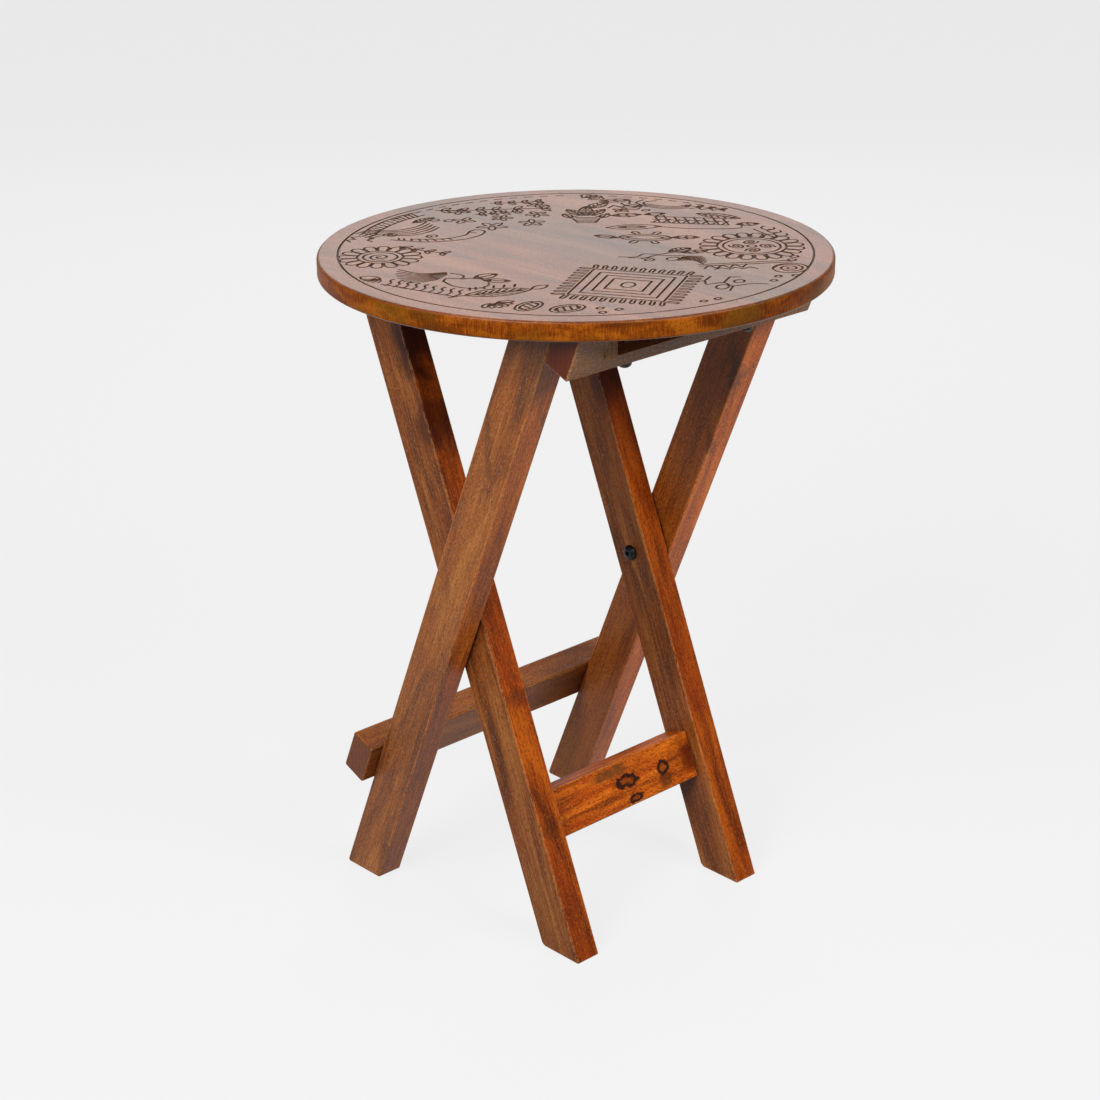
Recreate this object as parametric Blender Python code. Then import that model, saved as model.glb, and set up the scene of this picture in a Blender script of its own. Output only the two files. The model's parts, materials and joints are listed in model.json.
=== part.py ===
"""Folding side table: a round wooden top on two crossed leg frames.

Metres, +Z up.  The origin is on the floor under the middle of the round top.
X runs along the folding axes.  The outer frame's legs lean towards -Y at the
top and the inner frame's legs lean towards +Y.
"""
import bpy
import bmesh
from math import asin, cos, pi, radians, sin, tan
from mathutils import Matrix, Vector

# ---------------------------------------------------------------- dimensions
HEIGHT = 0.600
TOP_RADIUS = 0.2195
TOP_THICKNESS = 0.0165
TOP_EDGE_ROUND = 0.0025

LEG_WIDTH = 0.0424            # across the leg, in the YZ plane
LEG_THICKNESS = 0.0258        # along X
LEG_EASE = 0.0009             # eased edges of the square stock
HEEL_CUT = 0.0026             # corner taken off behind each foot
OUTER_TILT = radians(22.6)
INNER_TILT = radians(22.25)
OUTER_FACE_X = 0.1434         # outside face of the outer legs
INNER_FACE_X = 0.1157         # outside face of the inner legs
PIVOT_Y = 0.0201
PIVOT_Z = 0.2915

RAIL_THICKNESS = 0.0275
RAIL_BOTTOM = 0.295           # along the outer leg, from the pivot
NOTCH_FLOOR = 0.3080          # along the outer leg, from the pivot
NOTCH_HALF = 0.1079
NOTCH_CORNER = 0.004

REAR_STRETCHER_HEIGHT = 0.042
INNER_STRETCHER_HEIGHT = 0.0442
REAR_STRETCHER_TOP = -0.1705  # along the outer leg, from the pivot
REAR_STRETCHER_HALF = 0.157
REAR_STRETCHER_THICKNESS = 0.0262
REAR_STRETCHER_EASE = 0.0018
INNER_STRETCHER_TOP = -0.1733 # along the inner leg, from the pivot
INNER_STRETCHER_FRONT = 0.0085
INNER_STRETCHER_THICKNESS = 0.028

CLEAT_CENTRE_X = 0.1012
CLEAT_THICKNESS = 0.0124
CLEAT_DEPTH = 0.026           # below the top's underside
CLEAT_ROUND = 0.0045          # rounding of the lower long edges
CLEAT_EAR = 0.014             # radius of the hinged end
CLEAT_TOE_REACH = 0.0032      # toe's end past the rail's front face
CLEAT_HOOK_RUN = 0.009        # level room behind the rail before the cleat deepens
FORK_SIDE_PLAY = 0.0004
FORK_FLOOR = 0.0155           # below the hinge, along the leg

CONTACT_GAP = 0.0003          # between pieces that touch
FRAME_PLAY = 0.0005           # between the leg tops and the underside
HOLE_PLAY = 0.0003            # radial, around pins, bolts and dowels

BOLT_RADIUS = 0.003
BOLT_HEAD_RADIUS = 0.0072
BOLT_HEAD_HEIGHT = 0.0045
SOCKET_RADIUS = 0.0024
SOCKET_DEPTH = 0.0024
INSERT_RADIUS = 0.005
INSERT_LENGTH = 0.018
WASHER_RADIUS = 0.010
HINGE_PIN_RADIUS = 0.003

CATCH_X = 0.0722
CATCH_Y = -0.1315
CATCH_RADIUS = 0.0018
CATCH_HEAD_RADIUS = 0.0064
CATCH_HEAD_HEIGHT = 0.0060
CATCH_HEAD_SEAT_Z = 0.5470
CATCH_TIP = 0.004             # reach into the top
CATCH_SOCKET_RADIUS = 0.006
CATCH_SOCKET_DEPTH = 0.006

FRAME_DOWEL_RADIUS = 0.004
RAIL_DOWEL_RADIUS = 0.003
DOWEL_END_ROOM = 0.001
# Each row is (name, place along the leg); each reach is (into the first piece, the second).
INNER_DOWEL_ROWS = (("upper", 0.0105), ("lower", -0.0105))       # from the bar's middle
INNER_DOWEL_REACH = (0.020, 0.014)
RAIL_DOWEL_ROWS = (("upper", 0.3125), ("lower", 0.3015))         # from the pivot
RAIL_DOWEL_REACH = (0.018, 0.015)
STRETCHER_DOWEL_ROWS = (("upper", -0.0105), ("lower", -0.0315))  # from the bar's top
STRETCHER_DOWEL_REACH = (0.018, 0.016)

CUT_PAST = 0.001              # cutters reach this far past a face
NOTCH_CUT_PAST = 0.005
NOTCH_CUT_HEIGHT = 0.060
CATCH_CUT_ABOVE = 0.030
CATCH_CUT_BELOW = 0.020
HINGE_HOLE_WALL = 0.0025      # wood left outside the hinge hole
HINGE_PIN_INSET = 0.0005
HINGE_PIN_CHAMFER = 0.0004
INSERT_FLOOR = 0.002
PIVOT_BOLT_GRIP = 0.012       # reach into the insert
SCREW_TIP = 0.004

SCREW_RADIUS = 0.0018
SCREW_HEAD_RADIUS = 0.0038
SCREW_HEAD_HEIGHT = 0.0026
SCREW_SINK = 0.008            # head below the cleat's lower face
SCREW_REACH = 0.0095          # into the top
SCREW_ROWS = (0.085, -0.005, -0.090)

# ------------------------------------------------------- derived frame values
UNDERSIDE = HEIGHT - TOP_THICKNESS
HALF_LEG = LEG_WIDTH / 2
HINGE_DROP = HALF_LEG + FRAME_PLAY
HINGE_Z = UNDERSIDE - HINGE_DROP
HINGE_Y = PIVOT_Y + (HINGE_Z - PIVOT_Z) * tan(INNER_TILT)
HINGE_ALONG = (HINGE_Z - PIVOT_Z) / cos(INNER_TILT)
OUTER_LEG_X = OUTER_FACE_X - LEG_THICKNESS / 2
INNER_LEG_X = INNER_FACE_X - LEG_THICKNESS / 2
INNER_LEG_INSIDE_X = INNER_FACE_X - LEG_THICKNESS
OUTER_LEG_INSIDE_X = OUTER_FACE_X - LEG_THICKNESS
SIDES = (("left", -1), ("right", 1))


class LegFrame:
    """Axes of one leg frame: 'along' runs up the leg, 'front' towards -Y."""

    def __init__(self, lean):
        self.pivot = Vector((0, PIVOT_Y, PIVOT_Z))
        self.along = Vector((0, sin(lean), cos(lean)))
        self.front = Vector((0, -cos(lean), sin(lean)))

    def point(self, x, along, front):
        return self.pivot + Vector((x, 0, 0)) + self.along * along + self.front * front

    def at_height(self, front, z):
        """The point of the line 'front' at height z, in the plane x = 0."""
        start = self.pivot + self.front * front
        return start + self.along * ((z - start.z) / self.along.z)


OUTER = LegFrame(-OUTER_TILT)
INNER = LegFrame(INNER_TILT)
X_AXIS = Vector((1, 0, 0))
Y_AXIS = Vector((0, 1, 0))
Z_AXIS = Vector((0, 0, 1))

# ------------------------------------------------------------- shape helpers


def clear_scene():
    for obj in list(bpy.data.objects):
        bpy.data.objects.remove(obj, do_unlink=True)


def make_material(name, colour, roughness, metallic=0.0):
    material = bpy.data.materials.new(name)
    material.use_nodes = True
    shader = material.node_tree.nodes["Principled BSDF"]
    shader.inputs["Base Color"].default_value = (*colour, 1.0)
    shader.inputs["Roughness"].default_value = roughness
    shader.inputs["Metallic"].default_value = metallic
    material.diffuse_color = (*colour, 1.0)
    return material


def add_object(name, bm, material=None, smooth=False):
    bmesh.ops.recalc_face_normals(bm, faces=bm.faces)
    mesh = bpy.data.meshes.new(name)
    bm.to_mesh(mesh)
    bm.free()
    if smooth:
        mesh.shade_smooth()
        mesh.set_sharp_from_angle(angle=radians(35))
    obj = bpy.data.objects.new(name, mesh)
    bpy.context.scene.collection.objects.link(obj)
    if material:
        mesh.materials.append(material)
    return obj


def extrude_outline(points, offset):
    """A closed prism between a flat outline and its copy moved by offset."""
    bm = bmesh.new()
    face = bm.faces.new([bm.verts.new(point) for point in points])
    grown = bmesh.ops.extrude_face_region(bm, geom=[face])
    moved = [item for item in grown["geom"] if isinstance(item, bmesh.types.BMVert)]
    bmesh.ops.translate(bm, verts=moved, vec=offset)
    return bm


def box(centre, axes, size):
    """A box around centre, with its sides along three given axes."""
    first, second, third = (axis * length for axis, length in zip(axes, size))
    corner = centre - (first + second + third) / 2
    outline = [corner, corner + first, corner + first + second, corner + second]
    return extrude_outline(outline, third)


def turned(base, axis, profile, sides):
    """A solid of revolution; profile lists (distance along axis, radius)."""
    bm = bmesh.new()
    across = axis.orthogonal().normalized()
    points = [base + axis * along + across * radius for along, radius in profile]
    verts = [bm.verts.new(point) for point in points]
    edges = [bm.edges.new(pair) for pair in zip(verts, verts[1:])]
    bmesh.ops.spin(bm, geom=verts + edges, cent=base, axis=axis, angle=2 * pi,
                   steps=sides, use_duplicate=False)
    bmesh.ops.remove_doubles(bm, verts=bm.verts, dist=1e-6)
    return bm


def rod(start, end, radius, sides=16, chamfer=0.0):
    """A round bar with optional chamfered ends."""
    axis = (end - start).normalized()
    length = (end - start).length
    profile = [(0, 0), (0, radius - chamfer)]
    if chamfer:
        profile += [(chamfer, radius), (length - chamfer, radius)]
    profile += [(length, radius - chamfer), (length, 0)]
    return turned(start, axis, profile, sides)


def arc(centre, first, second, radius, start, end, steps):
    """Points of an arc in the plane of two unit axes."""
    angles = [start + (end - start) * step / steps for step in range(steps + 1)]
    return [centre + (first * cos(a) + second * sin(a)) * radius for a in angles]


def ease_edges(obj, width=LEG_EASE, segments=1, angle=50):
    bevel = obj.modifiers.new("eased edges", "BEVEL")
    bevel.width = width
    bevel.segments = segments
    bevel.limit_method = "ANGLE"
    bevel.angle_limit = radians(angle)
    bevel.use_clamp_overlap = True


def cut(obj, bm, label):
    """Take the shape bm away from obj."""
    cutter = add_object(f"{obj.name} {label} cutter", bm)
    cutter.display_type = "WIRE"
    cutter.hide_render = True
    cutter.hide_set(True)
    boolean = obj.modifiers.new(label, "BOOLEAN")
    boolean.operation = "DIFFERENCE"
    boolean.solver = "EXACT"
    boolean.object = cutter


def drill(obj, start, end, radius, label, sides=16):
    cut(obj, rod(start, end, radius + HOLE_PLAY, sides), label)


def add_axis(name, location):
    """An empty on a joint's axis, which the pieces of one body hang from."""
    empty = bpy.data.objects.new(name, None)
    empty.location = location
    bpy.context.scene.collection.objects.link(empty)
    return empty


def hang(empty, pieces):
    for obj in pieces:
        obj.data.transform(Matrix.Translation(-empty.location))
        obj.parent = empty


# ------------------------------------------------------------------ materials
def wood(name, colour):
    return make_material(name, colour, 0.5)


def black_steel(name):
    return make_material(name, (0.012, 0.012, 0.014), 0.4, 0.7)


def bright_steel(name):
    return make_material(name, (0.52, 0.50, 0.48), 0.35, 1.0)


LEG_WOOD = (0.23, 0.085, 0.030)
RAIL_WOOD = (0.20, 0.085, 0.045)
STRETCHER_WOOD = (0.28, 0.085, 0.020)
TOP_WOOD = (0.27, 0.110, 0.055)
CLEAT_WOOD = (0.30, 0.150, 0.050)
DOWEL_WOOD = (0.55, 0.380, 0.200)

# ---------------------------------------------------------------- small parts


def button_bolt(name, seat, axis, length, radius=BOLT_RADIUS,
                head_radius=BOLT_HEAD_RADIUS, head_height=BOLT_HEAD_HEIGHT):
    """A domed bolt: axis points from the seat along the shank."""
    rim = head_height * 0.3
    profile = [(-head_height, 0), (-head_height, head_radius * 0.55),
               (-head_height * 0.75, head_radius * 0.85), (-rim, head_radius),
               (0, head_radius), (0, radius), (length, radius), (length, 0)]
    obj = add_object(name, turned(seat, axis, profile, 20), black_steel(name), smooth=True)
    crown = seat - axis * (head_height + CUT_PAST)
    cut(obj, rod(crown, seat - axis * (head_height - SOCKET_DEPTH), SOCKET_RADIUS, 6),
        "hex socket")
    return obj


def insert(name, mouth, axis):
    """A threaded insert: a sleeve with a blind bore, open at its mouth."""
    bore = BOLT_RADIUS + HOLE_PLAY
    depth = INSERT_LENGTH - INSERT_FLOOR
    profile = [(depth, 0), (depth, bore), (0, bore), (0, INSERT_RADIUS),
               (INSERT_LENGTH, INSERT_RADIUS), (INSERT_LENGTH, 0)]
    return add_object(name, turned(mouth, axis, profile, 16), bright_steel(name), smooth=True)


def washer(name, start, end, bore, radius):
    axis = (end - start).normalized()
    length = (end - start).length
    profile = [(0, bore), (0, radius), (length, radius), (length, bore), (0, bore)]
    return add_object(name, turned(start, axis, profile, 20),
                      make_material(name, (0.05, 0.05, 0.05), 0.5), smooth=True)


def dowel_joint(name, first, second, middle, axis, reach, radius):
    """One dowel across a joint, with a blind hole in each of the two pieces."""
    start = middle - axis * reach[0]
    end = middle + axis * reach[1]
    room = axis * DOWEL_END_ROOM
    past = axis * CUT_PAST
    drill(first, start - room, middle + past, radius, f"{name} hole")
    drill(second, middle - past, end + room, radius, f"{name} hole")
    return add_object(name, rod(start, end, radius, chamfer=radius * 0.2),
                      wood(name, DOWEL_WOOD), smooth=True)


def heel(frame):
    """The lower end of a leg's rear edge, with its corner cut off."""
    corner = frame.at_height(-HALF_LEG, 0)
    return [corner + frame.along * HEEL_CUT, corner - Y_AXIS * HEEL_CUT]


# ---------------------------------------------------------------- inner frame
def hinge_point(x):
    return Vector((x, HINGE_Y, HINGE_Z))


def build_inner_leg(name, side):
    """Square stock, cut level at the foot and rounded about the hinge at the top."""
    x = side * INNER_LEG_X
    to_x = X_AXIS * (x - LEG_THICKNESS / 2)
    foot = [*heel(INNER), INNER.at_height(HALF_LEG, 0)]
    crown = arc(hinge_point(0), INNER.front, INNER.along, HALF_LEG, 0, pi, 12)
    outline = [point + to_x for point in foot + crown]
    leg = add_object(name, extrude_outline(outline, X_AXIS * LEG_THICKNESS),
                     wood(name, LEG_WOOD))
    ease_edges(leg)
    fork = INNER.along * (HINGE_ALONG - FORK_FLOOR + LEG_WIDTH / 2)
    centre = INNER.pivot + fork + X_AXIS * side * CLEAT_CENTRE_X
    width = CLEAT_THICKNESS + 2 * FORK_SIDE_PLAY
    cut(leg, box(centre, (X_AXIS, INNER.front, INNER.along),
                 (width, LEG_WIDTH * 2, LEG_WIDTH)), "fork")
    inside = side * (INNER_LEG_INSIDE_X - CUT_PAST)
    drill(leg, INNER.point(inside, 0, 0), INNER.point(side * (INNER_FACE_X + CUT_PAST), 0, 0),
          BOLT_RADIUS, "pivot hole", sides=20)
    drill(leg, hinge_point(inside), hinge_point(side * (INNER_FACE_X - HINGE_HOLE_WALL)),
          HINGE_PIN_RADIUS, "hinge hole")
    return leg


def build_inner_stretcher(name):
    height = INNER_STRETCHER_TOP - INNER_STRETCHER_HEIGHT / 2
    depth = INNER_STRETCHER_FRONT - INNER_STRETCHER_THICKNESS / 2
    length = 2 * (INNER_LEG_INSIDE_X - CONTACT_GAP)
    bar = add_object(name, box(INNER.point(0, height, depth), (X_AXIS, INNER.front, INNER.along),
                               (length, INNER_STRETCHER_THICKNESS, INNER_STRETCHER_HEIGHT)),
                     wood(name, STRETCHER_WOOD))
    ease_edges(bar)
    return bar


def build_inner_frame():
    legs = {label: build_inner_leg(f"inner_leg_{label}", side) for label, side in SIDES}
    stretcher = build_inner_stretcher("inner_stretcher")
    pieces = [*legs.values(), stretcher]
    depth = INNER_STRETCHER_FRONT - INNER_STRETCHER_THICKNESS / 2
    middle = INNER_STRETCHER_TOP - INNER_STRETCHER_HEIGHT / 2
    for label, side in SIDES:
        for row, shift in INNER_DOWEL_ROWS:
            joint = INNER.point(side * INNER_LEG_INSIDE_X, middle + shift, depth)
            pieces.append(dowel_joint(f"inner_dowel_{row}_{label}", stretcher, legs[label],
                                      joint, X_AXIS * side, INNER_DOWEL_REACH,
                                      FRAME_DOWEL_RADIUS))
        inner_end = side * (INNER_LEG_INSIDE_X + HINGE_PIN_INSET)
        outer_end = side * (INNER_FACE_X - HINGE_HOLE_WALL - HINGE_PIN_INSET)
        pin = rod(hinge_point(inner_end), hinge_point(outer_end), HINGE_PIN_RADIUS,
                  chamfer=HINGE_PIN_CHAMFER)
        name = f"hinge_pin_{label}"
        pieces.append(add_object(name, pin, bright_steel(name), smooth=True))
    return pieces


# ---------------------------------------------------------------- outer frame
def build_outer_leg(name, side):
    """Square stock, cut level at the foot and under the top."""
    to_x = X_AXIS * (side * OUTER_LEG_X - LEG_THICKNESS / 2)
    crown = UNDERSIDE - FRAME_PLAY
    corners = ((HALF_LEG, 0), (HALF_LEG, crown), (-HALF_LEG, crown))
    side_view = heel(OUTER) + [OUTER.at_height(front, z) for front, z in corners]
    outline = [point + to_x for point in side_view]
    leg = add_object(name, extrude_outline(outline, X_AXIS * LEG_THICKNESS),
                     wood(name, LEG_WOOD))
    ease_edges(leg)
    mouth = OUTER.point(side * (OUTER_LEG_INSIDE_X - CUT_PAST), 0, 0)
    bottom = OUTER.point(side * (OUTER_LEG_INSIDE_X + INSERT_LENGTH + CUT_PAST), 0, 0)
    drill(leg, mouth, bottom, INSERT_RADIUS, "insert hole")
    return leg


def build_top_rail(name):
    """The rail under the top's front, with a long notch in its upper edge."""
    back = HALF_LEG + CONTACT_GAP
    front = HALF_LEG + RAIL_THICKNESS
    crown = UNDERSIDE - FRAME_PLAY
    outline = [OUTER.point(0, RAIL_BOTTOM, back), OUTER.point(0, RAIL_BOTTOM, front),
               OUTER.at_height(front, crown), OUTER.at_height(back, crown)]
    to_x = X_AXIS * -OUTER_FACE_X
    rail = add_object(name, extrude_outline([point + to_x for point in outline],
                                            X_AXIS * 2 * OUTER_FACE_X),
                      wood(name, RAIL_WOOD))
    ease_edges(rail)
    start = back - NOTCH_CUT_PAST
    upper = NOTCH_FLOOR + NOTCH_CUT_HEIGHT
    inset = NOTCH_HALF - NOTCH_CORNER
    floor = NOTCH_FLOOR + NOTCH_CORNER
    notch = [OUTER.point(NOTCH_HALF, upper, start), OUTER.point(-NOTCH_HALF, upper, start)]
    notch += arc(OUTER.point(-inset, floor, start), X_AXIS, OUTER.along,
                 NOTCH_CORNER, pi, 1.5 * pi, 5)
    notch += arc(OUTER.point(inset, floor, start), X_AXIS, OUTER.along,
                 NOTCH_CORNER, 1.5 * pi, 2 * pi, 5)
    run = OUTER.front * (RAIL_THICKNESS + 2 * NOTCH_CUT_PAST)
    cut(rail, extrude_outline(notch, run), "notch")
    for label, side in SIDES:
        seat = Vector((side * CATCH_X, CATCH_Y, CATCH_HEAD_SEAT_Z))
        drill(rail, seat - Z_AXIS * CUT_PAST, seat + Z_AXIS * CATCH_CUT_ABOVE, CATCH_RADIUS,
              f"catch hole {label}", sides=12)
        drill(rail, seat - Z_AXIS * CATCH_CUT_BELOW, seat + Z_AXIS * CONTACT_GAP,
              CATCH_HEAD_RADIUS, f"catch seat {label}", sides=20)
    return rail


def build_rear_stretcher(name):
    height = REAR_STRETCHER_TOP - REAR_STRETCHER_HEIGHT / 2
    depth = -HALF_LEG - CONTACT_GAP - REAR_STRETCHER_THICKNESS / 2
    bar = add_object(name, box(OUTER.point(0, height, depth), (X_AXIS, OUTER.front, OUTER.along),
                               (2 * REAR_STRETCHER_HALF, REAR_STRETCHER_THICKNESS,
                                REAR_STRETCHER_HEIGHT)), wood(name, STRETCHER_WOOD))
    ease_edges(bar, REAR_STRETCHER_EASE, 2)
    return bar


def build_outer_frame():
    legs = {label: build_outer_leg(f"outer_leg_{label}", side) for label, side in SIDES}
    rail = build_top_rail("top_rail")
    stretcher = build_rear_stretcher("rear_stretcher")
    pieces = [*legs.values(), rail, stretcher]
    for label, side in SIDES:
        x = side * OUTER_LEG_X
        for row, along in RAIL_DOWEL_ROWS:
            pieces.append(dowel_joint(f"rail_dowel_{row}_{label}", legs[label], rail,
                                      OUTER.point(x, along, HALF_LEG), OUTER.front,
                                      RAIL_DOWEL_REACH, RAIL_DOWEL_RADIUS))
        for row, shift in STRETCHER_DOWEL_ROWS:
            joint = OUTER.point(x, REAR_STRETCHER_TOP + shift, -HALF_LEG)
            pieces.append(dowel_joint(f"stretcher_dowel_{row}_{label}", legs[label],
                                      stretcher, joint, -OUTER.front,
                                      STRETCHER_DOWEL_REACH, FRAME_DOWEL_RADIUS))
        outward = X_AXIS * side
        mouth = OUTER.point(side * OUTER_LEG_INSIDE_X, 0, 0)
        pieces.append(insert(f"pivot_insert_{label}", mouth, outward))
        seat = OUTER.point(side * (INNER_LEG_INSIDE_X - CONTACT_GAP), 0, 0)
        reach = OUTER_LEG_INSIDE_X - INNER_LEG_INSIDE_X + PIVOT_BOLT_GRIP
        pieces.append(button_bolt(f"pivot_bolt_{label}", seat, outward, reach))
        start = OUTER.point(side * (INNER_FACE_X + CONTACT_GAP), 0, 0)
        end = OUTER.point(side * (OUTER_LEG_INSIDE_X - CONTACT_GAP), 0, 0)
        pieces.append(washer(f"pivot_washer_{label}", start, end,
                             BOLT_RADIUS + HOLE_PLAY, WASHER_RADIUS))
        catch = Vector((side * CATCH_X, CATCH_Y, CATCH_HEAD_SEAT_Z))
        length = UNDERSIDE + CATCH_TIP - CATCH_HEAD_SEAT_Z
        pieces.append(button_bolt(f"catch_bolt_{label}", catch, Z_AXIS, length,
                                  CATCH_RADIUS, CATCH_HEAD_RADIUS, CATCH_HEAD_HEIGHT))
    return pieces


# ------------------------------------------------------------------- tabletop
def build_top_panel(name):
    """The round top, with eased edges and blind holes in its underside."""
    quarter = [(1 - cos(a), 1 - sin(a)) for a in (0, pi / 6, pi / 3, pi / 2)]
    profile = [(0, 0)]
    profile += [(TOP_EDGE_ROUND * up, TOP_RADIUS - TOP_EDGE_ROUND * back) for up, back in quarter]
    profile += [(TOP_THICKNESS - TOP_EDGE_ROUND * up, TOP_RADIUS - TOP_EDGE_ROUND * back)
                for up, back in reversed(quarter)]
    profile += [(TOP_THICKNESS, 0)]
    panel = add_object(name, turned(Z_AXIS * UNDERSIDE, Z_AXIS, profile, 120),
                       wood(name, TOP_WOOD), smooth=True)
    below = Z_AXIS * (UNDERSIDE - CUT_PAST)
    for label, side in SIDES:
        for number, y in enumerate(SCREW_ROWS, 1):
            spot = Vector((side * CLEAT_CENTRE_X, y, 0))
            depth = Z_AXIS * (UNDERSIDE + SCREW_REACH + CUT_PAST)
            drill(panel, spot + below, spot + depth, SCREW_RADIUS,
                  f"pilot {label} {number}", sides=10)
        spot = Vector((side * CATCH_X, CATCH_Y, 0))
        drill(panel, spot + below, spot + Z_AXIS * (UNDERSIDE + CATCH_SOCKET_DEPTH),
              CATCH_SOCKET_RADIUS, f"catch socket {label}", sides=20)
    return panel


def cleat_outline():
    """Side view of a cleat: hinged ear at the back, hooked toe in the rail's notch."""
    top = UNDERSIDE - CONTACT_GAP
    bottom = UNDERSIDE - CLEAT_DEPTH
    seat = NOTCH_FLOOR + FRAME_PLAY
    toe = OUTER.point(0, seat, HALF_LEG + RAIL_THICKNESS + CLEAT_TOE_REACH)
    hinge = hinge_point(0)
    ear_start = asin((HINGE_Z - bottom) / CLEAT_EAR) - pi
    outline = arc(hinge, Y_AXIS, Z_AXIS, CLEAT_EAR, ear_start, 0, 10)
    outline.append(Vector((0, HINGE_Y + CLEAT_EAR, top)))
    outline += [Vector((0, toe.y, top)), toe]
    seat_back = OUTER.point(0, seat, HALF_LEG)
    outline.append(seat_back)
    outline.append(seat_back + Y_AXIS * CLEAT_HOOK_RUN)
    outline.append(Vector((0, seat_back.y + CLEAT_HOOK_RUN + seat_back.z - bottom, bottom)))
    return outline


def build_cleat(name, side):
    to_x = X_AXIS * (side * CLEAT_CENTRE_X - CLEAT_THICKNESS / 2)
    outline = [point + to_x for point in cleat_outline()]
    cleat = add_object(name, extrude_outline(outline, X_AXIS * CLEAT_THICKNESS),
                       wood(name, CLEAT_WOOD))
    round_lower_edges(cleat)
    x = side * CLEAT_CENTRE_X
    drill(cleat, hinge_point(x - CLEAT_THICKNESS), hinge_point(x + CLEAT_THICKNESS),
          HINGE_PIN_RADIUS, "hinge hole")
    bottom = UNDERSIDE - CLEAT_DEPTH
    for number, y in enumerate(SCREW_ROWS, 1):
        mouth = Vector((x, y, bottom - CUT_PAST))
        drill(cleat, mouth, Vector((x, y, UNDERSIDE + CUT_PAST)), SCREW_RADIUS,
              f"screw hole {number}", sides=10)
        drill(cleat, mouth, Vector((x, y, bottom + SCREW_SINK)), SCREW_HEAD_RADIUS,
              f"counterbore {number}", sides=14)
    return cleat


def round_lower_edges(cleat):
    """Round the long lower edges, but not the upper ones against the top."""
    weights = cleat.data.attributes.new("bevel_weight_edge", "FLOAT", "EDGE")
    for edge in cleat.data.edges:
        first, second = (cleat.data.vertices[index].co for index in edge.vertices)
        lower = max(first.z, second.z) < UNDERSIDE - 0.010
        weights.data[edge.index].value = 1.0 if lower and abs(first.x - second.x) < 1e-5 else 0.0
    bevel = cleat.modifiers.new("rounded lower edges", "BEVEL")
    bevel.width = CLEAT_ROUND
    bevel.segments = 2
    bevel.limit_method = "WEIGHT"
    bevel.use_clamp_overlap = True


def build_screw(name, spot):
    """A countersunk screw, head down, from inside the cleat up into the top."""
    head = UNDERSIDE - CLEAT_DEPTH + SCREW_SINK - CONTACT_GAP - SCREW_HEAD_HEIGHT
    length = UNDERSIDE + SCREW_REACH - head
    profile = [(0, 0), (0, SCREW_HEAD_RADIUS), (SCREW_HEAD_HEIGHT, SCREW_HEAD_RADIUS),
               (SCREW_HEAD_HEIGHT, SCREW_RADIUS), (length - SCREW_TIP, SCREW_RADIUS),
               (length, 0)]
    return add_object(name, turned(Vector((spot.x, spot.y, head)), Z_AXIS, profile, 12),
                      bright_steel(name), smooth=True)


def build_tabletop():
    pieces = [build_top_panel("top_panel")]
    for label, side in SIDES:
        pieces.append(build_cleat(f"cleat_{label}", side))
        for number, y in enumerate(SCREW_ROWS, 1):
            spot = Vector((side * CLEAT_CENTRE_X, y, 0))
            pieces.append(build_screw(f"cleat_screw_{number}_{label}", spot))
    return pieces


def main():
    clear_scene()
    build_inner_frame()
    hang(add_axis("leg_pivot_axis", INNER.pivot), build_outer_frame())
    hang(add_axis("top_hinge_axis", hinge_point(0)), build_tabletop())


main()
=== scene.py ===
"""Looks of the folding side table with a carved round top."""
import json
import bpy
import bmesh
from math import cos, pi, radians, sin, sqrt
from mathutils import Matrix, Vector
from mathutils.geometry import delaunay_2d_cdt

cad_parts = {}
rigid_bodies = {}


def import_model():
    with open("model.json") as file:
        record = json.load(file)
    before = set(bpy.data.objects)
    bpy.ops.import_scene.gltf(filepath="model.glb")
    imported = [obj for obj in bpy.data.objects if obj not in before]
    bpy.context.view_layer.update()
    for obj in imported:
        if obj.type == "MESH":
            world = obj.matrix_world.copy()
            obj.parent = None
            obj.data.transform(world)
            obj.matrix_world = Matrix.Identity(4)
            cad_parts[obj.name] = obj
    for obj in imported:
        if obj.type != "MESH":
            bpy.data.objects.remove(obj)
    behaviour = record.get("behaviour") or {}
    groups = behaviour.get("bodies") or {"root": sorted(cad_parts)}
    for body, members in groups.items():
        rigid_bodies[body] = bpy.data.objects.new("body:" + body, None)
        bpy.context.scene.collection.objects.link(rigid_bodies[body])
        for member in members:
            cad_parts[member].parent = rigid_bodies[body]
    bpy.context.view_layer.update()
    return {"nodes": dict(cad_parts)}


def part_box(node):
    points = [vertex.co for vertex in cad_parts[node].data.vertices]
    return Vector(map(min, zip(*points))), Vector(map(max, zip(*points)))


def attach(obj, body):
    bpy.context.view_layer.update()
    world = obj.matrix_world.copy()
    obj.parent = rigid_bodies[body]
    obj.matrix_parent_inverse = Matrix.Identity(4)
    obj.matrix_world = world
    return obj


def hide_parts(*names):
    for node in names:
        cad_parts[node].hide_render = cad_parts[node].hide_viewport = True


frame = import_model()

OUTER_TILT = radians(22.6)
INNER_TILT = radians(22.25)
OUTER_GRAIN = Vector((0, -sin(OUTER_TILT), cos(OUTER_TILT)))
INNER_GRAIN = Vector((0, sin(INNER_TILT), cos(INNER_TILT)))
X_GRAIN = Vector((1, 0, 0))
Y_GRAIN = Vector((0, 1, 0))


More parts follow.
